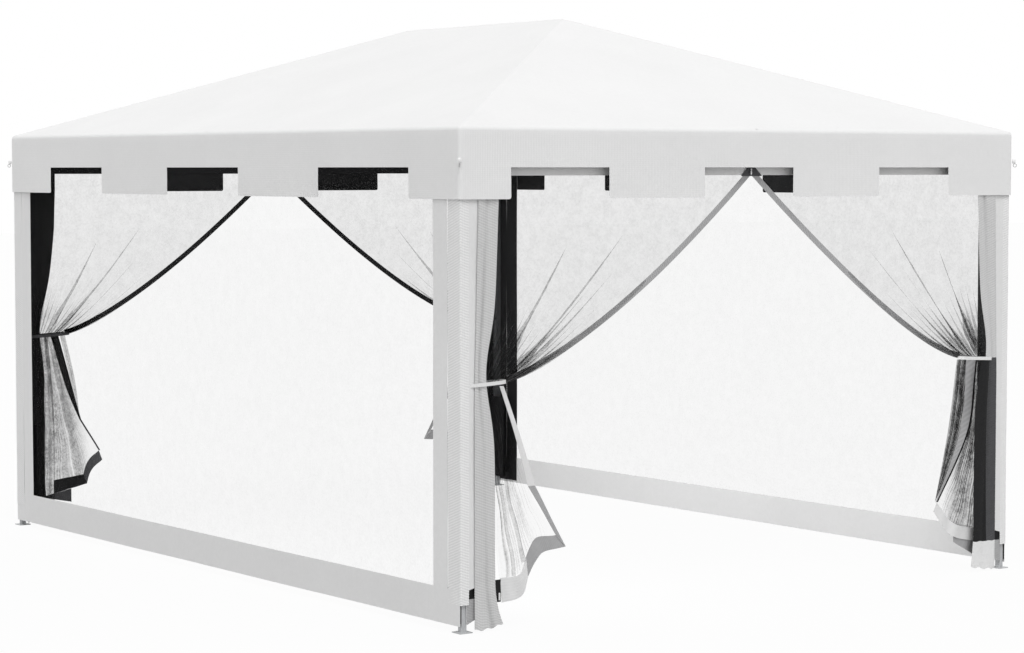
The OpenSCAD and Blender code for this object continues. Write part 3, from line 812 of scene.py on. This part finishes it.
def curtain(corner):
    """One tied curtain: the drawn net and its pleats, the tail below the tie, the edge and header tapes."""
    sx, sy = SIGNS[corner]
    c = CURTAINS[corner]
    seed = c["seed"]
    world = partial(inward, corner)
    sheets = Sheets()
    flip = sx * sy > 0

    def span(u):
        """Width of the drawn net, at u from the tie (0) to the header (1)."""
        return (c["tie_out"] - c["tie_in"]) * (1 - u) + (MIDDLE_D - LEG_GAP_D) * u

    def upper(a, u):
        """A place on the drawn net, at a from the leg (0) to the free edge (1)."""
        a, u = max(a, 0.0), max(u, 0.0)
        d_tie = c["tie_in"] + (c["tie_out"] - c["tie_in"]) * a
        d_top = LEG_GAP_D + (MIDDLE_D - LEG_GAP_D) * a
        power = 1 + (c["power"] - 1) * a**1.5
        d = d_tie + (d_top - d_tie) * u
        z = c["tie_z"] + (HEADER_LOW - c["tie_z"]) * u**power
        gathered = min(1.0, max(0.0, (0.62 - u) / 0.5))
        e = CURTAIN_E + fold_depth(span(u)) * gathered * fold_wave(a, seed)
        e += 0.003 * wander(d, z, 0, 0.3, seed) * (1 - a)
        return d, e, z

    def drawn_net(ends, heights, columns, cover, shade, shift=0.0):
        """Drawn net between the two shares across that ends gives at each height."""
        rows, uv = [], []
        for u in heights:
            shares = spaced(*ends(u), columns)
            points = [upper(a, u) for a in shares]
            rows.append([world(d, e + shift, z) for d, e, z in points])
            uv.append([(a * MIDDLE_D, point[2]) for a, point in zip(shares, points)])
        # A fold's flank shows more thread than its crest
        step = np.gradient(np.array(rows), axis=1)
        seen = np.linalg.norm(step[:, :, [0, 2]], axis=2)
        steep = np.linalg.norm(step, axis=2) / np.maximum(seen, 1e-6)
        sheets.grid(rows, uv, 2, None, 0, np.clip(cover * (1 + shade * (steep - 1)), 0, 0.75), flip)

    drawn_net(lambda u: (0.0, 1.0), spaced(1.0, 0.0, 50), 220, NET_COVER, 0.25)
    for a, top, wide in c["pleats"]:
        def pleat(u):
            reach = wide * max(0.0, 1 - u / top) ** 0.9 / span(u)
            return a - reach, min(1.0, a + reach)

        drawn_net(pleat, spaced(top, 0.02, 24), 6, PLEAT_COVER, 0.0, 0.004)

    def tail_net(net):
        """Net stretched between its four edges, thick where it is folded."""
        leg, free = net["leg"], net["free"]
        corners = [np.array(p) for p in (leg[0], free[0], leg[-1], free[-1])]
        shares = spaced(0, 1, 110)
        heads, feet = ([along(line, a) for a in shares] for line in ([leg[0], free[0]], net["foot"]))
        rows, uv, cover = [], [], []
        for v in spaced(0, 1, 60):
            near, far = along(leg, v), along(free, v)
            swell = net["deep"] * min(1.0, abs(far[0] - near[0]) / 0.12)
            row, line, covers = [], [], []
            for a, head, toe in zip(shares, heads, feet):
                d, z = ((1 - v) * head + v * toe + (1 - a) * near + a * far
                        - (1 - a) * (1 - v) * corners[0] - a * (1 - v) * corners[1]
                        - (1 - a) * v * corners[2] - a * v * corners[3])
                sway = a + 0.035 * math.sin(5.0 * v + 2 * seed) * v + 0.012 * math.sin(23 * v + 9 * a + seed)
                fine = math.sin(math.tau * 17 * sway + 2.0 * math.sin(math.tau * 3.1 * sway + seed))
                e = CURTAIN_E + net["depth"] + swell * fine * min(1.0, 6 * a, 6 * (1 - a))
                bare = max(0.0, min(1.0, 2.4 * (a + v - 1.42)))
                thick = net["cover"] + (net["bare"] - net["cover"]) * bare
                patchy = 0.5 + 0.5 * math.sin(7 * v + 31 * a + seed)
                lines = 0.22 * max(0.0, fine) ** 3 - 0.62 * patchy * max(0.0, -fine) ** 6
                for place, half, full in net["bands"]:
                    share = max(0.0, 1 - (abs(sway - place) / half) ** 4) * (1 - bare)
                    thick += (full - thick) * share
                row.append(world(d, e, z))
                line.append((a * 0.5, z))
                covers.append(min(0.8, thick * (1 + (1 - bare) * lines)))
            rows.append(row)
            uv.append(line)
            cover.append(covers)
        sheets.grid(rows, uv, 2, None, 0, cover, flip)

    def between(near, far, mat, out):
        """Tape or hem between two edges."""
        ends = [(along(near, t), along(far, t)) for t in spaced(0, 1, 40)]

        def at(i, k):
            d, z = ends[i][0] * (1 - k) + ends[i][1] * k
            wave = 0.003 * math.sin(60 * d + 25 * z + seed) * math.sin(math.pi * i / 40)
            return world(d, CURTAIN_E - out + wave, z), (0.04 * k, 0.3 * i / 40)

        front, back = (mat, 1) if sy < 0 else (0, mat)
        sheets.patch(range(41), spaced(0, 1, 4), at, front, back, CLOTH_T, flip)

    tail = TAILS[corner]
    for layer in tail["nets"]:
        tail_net(layer)
    for near, far, mat in tail["tapes"]:
        between(near, far, mat, 0.004)
    for near, far, mat in tail["hems"]:
        between(near, far, mat, 0.0055 if mat == 0 else 0.002)

    # Tape beside the free edge of the drawn net
    edge = np.array([upper(1.0, u) for u in spaced(1, 0, 39)])
    way = np.gradient(edge[:, [0, 2]], axis=0)
    way /= np.linalg.norm(way, axis=1, keepdims=True)
    run = np.concatenate([[0], np.cumsum(np.linalg.norm(np.diff(edge, axis=0), axis=1))])

    def edge_tape(i, width):
        d, e, z = edge[i]
        return world(d + way[i, 1] * width, e - 0.003, z - way[i, 0] * width), (width, run[i])

    def header_tape(d, z):
        return world(d, CURTAIN_E - 0.002 + 0.002 * wander(d, z, 0, 0.2, seed), z), (d, z)

    header_heights = spaced(CURTAIN_TOP, HEADER_LOW, 4)
    sheets.patch(range(len(edge)), (0.0, EDGE_TAPE_W), edge_tape, 3, 1, CLOTH_T, flip)
    sheets.patch(spaced(0.02, MIDDLE_D, 59), header_heights, header_tape, 0, 1, TAPE_T, flip)

    obj = sheets.build(f"tied_curtain_{corner}", [TAPE, LINING, NET, TRIM, FOLDED])
    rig.ride(obj, "leg_" + corner)
    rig.squash(obj, "frame_fold", (1, 0, 0), world(0, 0, 1), FOLD_KEEP_X)
    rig.replaces(obj, "curtain_" + corner)
    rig.slot(obj, "curtain_net")
    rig.sheet(obj, (MIDDLE_D - LEG_GAP_D, CURTAIN_TOP - 0.08), "gathered", ["leg_outer_" + corner])


def curtain_tie(corner):
    """Webbing strap round the gathered net and the leg's cloth."""
    sx, sy = SIGNS[corner]
    c = CURTAINS[corner]
    mid, half = (c["strap"][0] + c["strap"][1]) / 2, (c["strap"][1] - c["strap"][0]) / 2
    half_width, corner_power = 0.0075, 0.7

    def at(t, z):
        d, e = mid + half * blunt(math.cos(t), corner_power), 0.034 * blunt(math.sin(t), corner_power)
        return inward(corner, d, e, c["tie_z"] + z + 0.05 * (d - mid)), (t * half, z)

    sheets = Sheets()
    sheets.patch(spaced(0, math.tau, 48), (half_width, -half_width), at, 0, 0, 0.0016, sx * sy > 0)
    obj = sheets.build(f"curtain_tie_{corner}", [TAPE if sy < 0 else FOLDED])
    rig.ride(obj, "leg_" + corner)
    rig.squash(obj, "frame_fold", (1, 0, 0), (sx * LEG_X, sy * LEG_Y, c["tie_z"]), FOLD_KEEP_X)
    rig.slot(obj, "webbing")


# Cloth round each leg: a ribbed corner panel, and a loose ribbed strip beside it on the short side
PANEL_LOW = 0.112
PANEL_TOP = 1.93
PANEL_OUT = 0.0215
LONG_ARM, SHORT_ARM, BEND_R = 0.090, 0.094, 0.006
RIB_STEP = 0.00275


def ribs(s, z, height=0.0009):
    return height * math.sin(math.tau * (z + RIB_SLANT * abs(s)) / RIB_PITCH)


def corner_panel(corner):
    """Cloth round the leg's outer corner, its lining flap, and at the rear a lining on its inner side."""
    sx, sy = SIGNS[corner]
    world = partial(inward, corner)
    sheets = Sheets()
    turn = 0.0385

    def wrap(path, low, front, slant=0.0):
        """Cloth along a path round the corner: s < 0 on the long side, s > 0 on the short side."""
        def at(s, z):
            bulge = 0.0015 * wander(s * 3 + sx, z, sy, 0.25, 3.3) + ribs(s, z)
            if abs(s) < BEND_R:
                t = (s / BEND_R + 1) * math.pi / 4
                x, y = (PANEL_OUT - BEND_R + (BEND_R + bulge) * part for part in (math.cos(t), math.sin(t)))
            elif s < 0:
                x, y = PANEL_OUT + bulge, PANEL_OUT + s
            else:
                x, y = PANEL_OUT - s, PANEL_OUT + bulge
            rise = slant * (s - turn) * (PANEL_TOP - z) / (PANEL_TOP - low)
            return world(-x, -y, z + rise), (s, z)

        heights = spaced(low, PANEL_TOP, int((PANEL_TOP - low) / RIB_STEP))
        sheets.patch(path, heights, at, front, 1, TAPE_T, sx * sy < 0)

    bend = [-BEND_R / 2, 0.0, BEND_R / 2]
    wrap(spaced(-LONG_ARM, -BEND_R, 7) + bend + spaced(BEND_R, turn, 4), PANEL_LOW, 0)
    wrap(spaced(turn, SHORT_ARM, 5), 0.170, 2, 0.3)

    # Lining flap behind the return, seen below it, and its grey hem, which rises away from the leg
    for z1, z0, front, slant in ((0.20, 0.134, 1, 0.0), (0.134, 0.032, 3, 0.45)):
        def flap(d, t):
            z = z1 + (z0 - z1) * t + slant * (d - 0.010) * t
            return world(d, 0.004 - PANEL_OUT, z), (d, z)

        sheets.patch(spaced(0.010, 0.076, 6), spaced(0, 1, 6), flap, front, 1, LINING_T, sx * sy > 0)

    # Lining over the inner side of a rear leg, down to the wall's bottom band; it clears the foot plate
    if sy > 0:
        def lining(y, z):
            return (sx * (LEG_X - 0.034 - 0.002 * wander(y, z, 0, 0.15, 8.0)), y, z), (y, z)

        sheets.patch(spaced(LEG_Y - 0.110, LEG_Y + 0.012, 6), spaced(0.52, 0.06, 16), lining, 1, 1, LINING_T)
    obj = sheets.build(f"leg_panel_{corner}", [RIBBED, LINING, TAPE, TRIM])
    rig.ride(obj, "leg_" + corner)
    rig.slot(obj, "webbing")
    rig.sheet(obj, (LONG_ARM + SHORT_ARM, PANEL_TOP - PANEL_LOW), "stretched", ["leg_outer_" + corner])


def hanging_strip(corner):
    """Loose strip at the curtain's leg edge: it narrows at the tie and flares at the ground.
    A turned strip shows its lining below the tie, down to its hem."""
    sx, sy = SIGNS[corner]
    c = CURTAINS[corner]
    seed, tie_z = c["seed"], c["tie_z"]
    low, top, hem = 0.004, 1.92, 0.135
    sheets = Sheets()

    def edges(z, flare):
        """The strip's two edges, as distances inward from the leg's axis."""
        near = 0.042 + 0.018 * min(1.0, max(0.0, (z - 0.9) / 0.8)) + 0.0015 * wander(z, 0, 0, 0.3, seed)
        pinch = math.exp(-(((z - 1.02) / 0.20) ** 2))
        spread = min(1.0, max(0.0, (z - 1.0) / 0.7)) ** 2
        far = (0.140 - 0.043 * pinch + 0.018 * spread + 0.042 * flare**2
               + c["wide"] * min(1.0, max(0.0, (z - tie_z + 0.35) / 0.9))
               + 0.003 * wander(z, 0, 0, 0.22, seed + 2))
        if c["turned"]:
            near, far = near + 0.014, far + 0.026
            if z < tie_z:
                far += 0.028 * (1 - flare**2)
        return near, far

    def at(t, z):
        flare = max(0.0, (0.20 - z) / 0.20)
        near, far = edges(z, flare)
        d = near + (far - near) * t
        from_fold = t - 0.50 - 0.12 * math.sin(3 * z + seed)
        crease = 0.004 * math.exp(-((from_fold / 0.10) ** 2))
        e = -0.0265 + crease + 0.004 * t * wander(z, t, 0, 0.35, seed + 5) + ribs(d, z, height=0.0008)
        e -= 0.012 * flare * math.sin(math.pi * t)
        lift = 0.018 * flare**2 * t**2 + 0.004 * flare * (1 + math.sin(17 * t + seed))
        shade = 0.24 * math.exp(-((from_fold / 0.09) ** 2)) * (0.55 + 0.45 * math.sin(5 * z + 2 * seed))
        return inward(corner, d, e, z + lift), (d, z), shade + 0.10 * math.exp(-40 * t)

    def stretch(z1, z0, t0, t1, front):
        heights = spaced(z1, z0, max(4, int((z1 - z0) / RIB_STEP)))
        sheets.patch(spaced(t0, t1, 16), heights, at, front, 1, TAPE_T, sx * sy > 0)

    if c["turned"]:
        stretch(top, tie_z, 0, 1, 0)
        stretch(tie_z, hem, 0, 0.42, 2)
        stretch(tie_z, hem, 0.42, 1, 1)
        stretch(hem, low, 0, 1, 3)
    else:
        stretch(top, low, 0, 1, 0)
    obj = sheets.build(f"hanging_strip_{corner}", [STRIP, LINING, FOLDED, TAPE])
    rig.ride(obj, "leg_" + corner)
    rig.squash(obj, "frame_fold", (1, 0, 0), (sx * LEG_X, sy * LEG_Y, 1), 0.5)
    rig.slot(obj, "webbing")
    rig.sheet(obj, (0.11, top - low), "hung", ["leg_outer_" + corner])


def zip_gusset(corner):
    """Half of the dark triangle of folded tape where the two curtains of a doorway meet."""
    sx, sy = SIGNS[corner]
    low, high, wide = HEADER_LOW - 0.004, HEADER_LOW + 0.05, 0.056

    def at(share, t):
        x = 0.0006 + (wide * t + 0.002) * share
        z = high + (low - high) * t
        return (sx * x, sy * (LEG_Y - CURTAIN_E + 0.006 + 0.001 * math.sin(40 * x)), z), (x, z)

    sheets = Sheets()
    sheets.patch(spaced(0, 1, 6), spaced(0, 1, 6), at, 0, 0, TAPE_T, sx * sy < 0)
    obj = sheets.build(f"zip_gusset_{corner}", [FOLDED])
    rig.ride(obj, "leg_" + corner)
    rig.squash(obj, "frame_fold", (1, 0, 0), (sx * LEG_X, sy * LEG_Y, 1), FOLD_KEEP_X)
    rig.slot(obj, "webbing")


def strap_end(corner):
    """End of the curtain's black pull strap with its white tab, hanging at the foot of the tail."""
    sx, sy = SIGNS[corner]
    sheets = Sheets()
    strap, tab = (0.164, 0.192, 0.105, 0.195, 0.000), (0.180, 0.188, 0.112, 0.142, 0.002)
    for mat, (d0, d1, z0, z1, out) in enumerate((strap, tab)):
        def at(d, z):
            return inward(corner, d, CURTAIN_E - 0.009 - out - 0.001 * math.sin(60 * z), z), (d, z)

        sheets.patch(spaced(d0, d1, 3), spaced(z1, z0, 8), at, mat, 0, TAPE_T, sx * sy > 0)
    obj = sheets.build(f"strap_end_{corner}", [LINING, PULL])
    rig.ride(obj, "leg_" + corner)
    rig.squash(obj, "frame_fold", (1, 0, 0), (sx * LEG_X, sy * LEG_Y, 1), FOLD_KEEP_X)
    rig.slot(obj, "webbing")


def zip_pull(corner):
    """White pull of the doorway's zip, parked at the top of the gusset."""
    sx, sy = SIGNS[corner]
    profile = [(0.0015, -0.016), (0.0034, -0.014), (0.0036, -0.004), (0.0020, 0.002), (0.0034, 0.008),
               (0.0015, 0.011)]
    place = (sx * 0.005, sy * (LEG_Y - CURTAIN_E + 0.011), HEADER_LOW + 0.018)
    obj = turned_knob(f"zip_pull_{corner}", profile, place, PULL, 12)
    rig.ride(obj, "leg_" + corner)
    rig.squash(obj, "frame_fold", (1, 0, 0), (sx * LEG_X, sy * LEG_Y, 1), FOLD_KEEP_X)
    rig.slot(obj, "dark_plastic")


def turned_knob(name, profile, place, mat, turns=24):
    """A turned solid from (radius, height) steps, set at a place with its axis upright."""
    points, faces, uv = [], [], []
    for r, h in profile:
        for i in range(turns):
            t = math.tau * i / turns
            points.append((place[0] + r * math.cos(t), place[1] + r * math.sin(t), place[2] + h))
            uv.append((t * 0.01, h))
    for k in range(len(profile) - 1):
        for i in range(turns):
            a, b = k * turns + i, k * turns + (i + 1) % turns
            faces.append((a, b, b + turns, a + turns))
    faces.append(tuple(range(turns))[::-1])
    faces.append(tuple((len(profile) - 1) * turns + i for i in range(turns)))
    return piece(name, points, faces, [mat], None, uv)


def guy_toggle(corner):
    """White plastic knob that holds each guy loop in the valance's corner."""
    sx, sy = SIGNS[corner]
    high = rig.box("guy_loops")[1]
    profile = [(0.0030, -0.010), (0.0062, -0.009), (0.0080, -0.004), (0.0082, 0.003), (0.0068, 0.008),
               (0.0035, 0.0105)]
    place = (sx * (EAVE_X + 0.003), sy * (EAVE_Y + 0.003), high.z + 0.009)
    obj = turned_knob(f"guy_toggle_{corner}", profile, place, PULL)
    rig.ride(obj, "leg_" + corner)
    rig.slot(obj, "dark_plastic")


def guy_loop(corner):
    """Webbing ring at the valance's corner, set across the corner, with a whipped seam."""
    sx, sy = SIGNS[corner]
    low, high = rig.box("guy_loops")
    radius = (high.z - low.z) / 2
    middle = (low.z + high.z) / 2
    reach = radius * 0.72
    points, faces, uv = [], [], []
    turns, sides = 40, 12
    for i in range(turns):
        t = math.tau * i / turns
        for k in range(sides):
            w = math.tau * k / sides
            thick = 0.0013 + 0.0004 * math.exp(-((t - math.pi) / 0.25) ** 2)
            ring = radius - 0.0016 + thick * math.cos(w)
            flat = 0.0015 * blunt(math.sin(w), 0.6)
            across = ring * math.cos(t)
            x, y = ((across + way * flat) * math.sqrt(0.5) for way in (1, -1))
            points.append((sx * (EAVE_X + reach + x), sy * (EAVE_Y + reach + y), middle + ring * math.sin(t)))
            uv.append((t * radius, w * 0.0015))
    for i in range(turns):
        for k in range(sides):
            a, b = i * sides + k, i * sides + (k + 1) % sides
            c, d = ((i + 1) % turns) * sides + (k + 1) % sides, ((i + 1) % turns) * sides + k
            faces.append((a, b, c, d) if sx * sy > 0 else (d, c, b, a))
    obj = piece(f"guy_loop_{corner}", points, faces, [WEBBING], None, uv)
    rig.ride(obj, "leg_" + corner)
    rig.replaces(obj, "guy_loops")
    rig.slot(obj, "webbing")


for corner in CORNERS:
    guy_loop(corner)
    curtain(corner)
    curtain_tie(corner)
    corner_panel(corner)
    hanging_strip(corner)
    zip_gusset(corner)
    guy_toggle(corner)
    if corner in ("front_left", "rear_right"):
        strap_end(corner)
        zip_pull(corner)


# Stage
AMBIENT = 0.72
FLOOR_GREY = (0.56, 0.56, 0.56, 1)
FLOOR_GLOW = 0.96
LENS, SENSOR = 94.67, 36
EYE = (-7.495, -10.709, 1.835)
DOWN, HEADING = 3.3575, -35.609


def add(name, data, turn):
    """An object for a lamp or camera, turned by degrees about X, Y and Z."""
    obj = bpy.data.objects.new(name, data)
    obj.rotation_euler = [math.radians(angle) for angle in turn]
    bpy.context.scene.collection.objects.link(obj)
    return obj


def add_sun(name, energy, spread, turn):
    data = bpy.data.lights.new(name, "SUN")
    data.energy, data.angle = energy, math.radians(spread)
    add(name, data, turn)


world = bpy.data.worlds.new("studio")
bpy.context.scene.world = world
world.use_nodes = True
wt = world.node_tree
background = wt.nodes["Background"]
background.inputs["Color"].default_value = (1, 1, 1, 1)
background.inputs["Strength"].default_value = AMBIENT
seen = wt.nodes.new("ShaderNodeBackground")
seen.inputs["Color"].default_value = (1, 1, 1, 1)
rays = wt.nodes.new("ShaderNodeLightPath")
clear = rays.outputs["Is Camera Ray"]
for kind in ("Is Glossy Ray", "Is Transmission Ray"):
    either = wt.nodes.new("ShaderNodeMath")
    either.operation = "MAXIMUM"
    wt.links.new(clear, either.inputs[0])
    wt.links.new(rays.outputs[kind], either.inputs[1])
    clear = either.outputs[0]
mix = wt.nodes.new("ShaderNodeMixShader")
wt.links.new(clear, mix.inputs[0])
wt.links.new(background.outputs[0], mix.inputs[1])
wt.links.new(seen.outputs[0], mix.inputs[2])
wt.links.new(mix.outputs[0], wt.nodes["World Output"].inputs["Surface"])

ground = Nodes("pale_floor")
ground.bsdf.inputs["Base Color"].default_value = FLOOR_GREY
ground.bsdf.inputs["Roughness"].default_value = 0.9
ground_rays = ground.node("ShaderNodeLightPath")
ground_mix = ground.node("ShaderNodeMixShader")
ground.link(ground.math("MULTIPLY", ground_rays.outputs["Is Camera Ray"], FLOOR_GLOW), ground_mix.inputs[0])
ground.link(ground.bsdf.outputs[0], ground_mix.inputs[1])
ground.link(ground.node("ShaderNodeEmission").outputs[0], ground_mix.inputs[2])
ground.link(ground_mix.outputs[0], ground.tree.nodes["Material Output"].inputs["Surface"])
bpy.ops.mesh.primitive_plane_add(size=120, location=(0, 0, -0.002))
floor = bpy.context.object
floor.name = "floor"
floor.data.materials.append(ground.mat)
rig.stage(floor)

add_sun("key", 1.4, 25, (28, 0, -20))
add_sun("fill", 0.18, 40, (0, -88, 0))

# A soft panel inside the left wall stands for the light that the cloth lets through
panel = bpy.data.lights.new("inside", "AREA")
panel.shape, panel.size, panel.size_y, panel.energy = "RECTANGLE", 1.1, 3.4, 55.0
inside = add("inside", panel, (0, -90, 0))
inside.location = (-1.2, 0.0, 0.85)
inside.visible_camera = False

camera_data = bpy.data.cameras.new("camera")
camera_data.lens, camera_data.sensor_width = LENS, SENSOR
camera_data.clip_end = 200
camera = add("camera", camera_data, (90 - DOWN, 0, HEADING))
camera.location = EYE
bpy.context.scene.camera = camera
bpy.context.scene.view_settings.view_transform = "Standard"

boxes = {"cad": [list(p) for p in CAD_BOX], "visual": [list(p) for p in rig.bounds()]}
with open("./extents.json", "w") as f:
    json.dump(boxes, f)
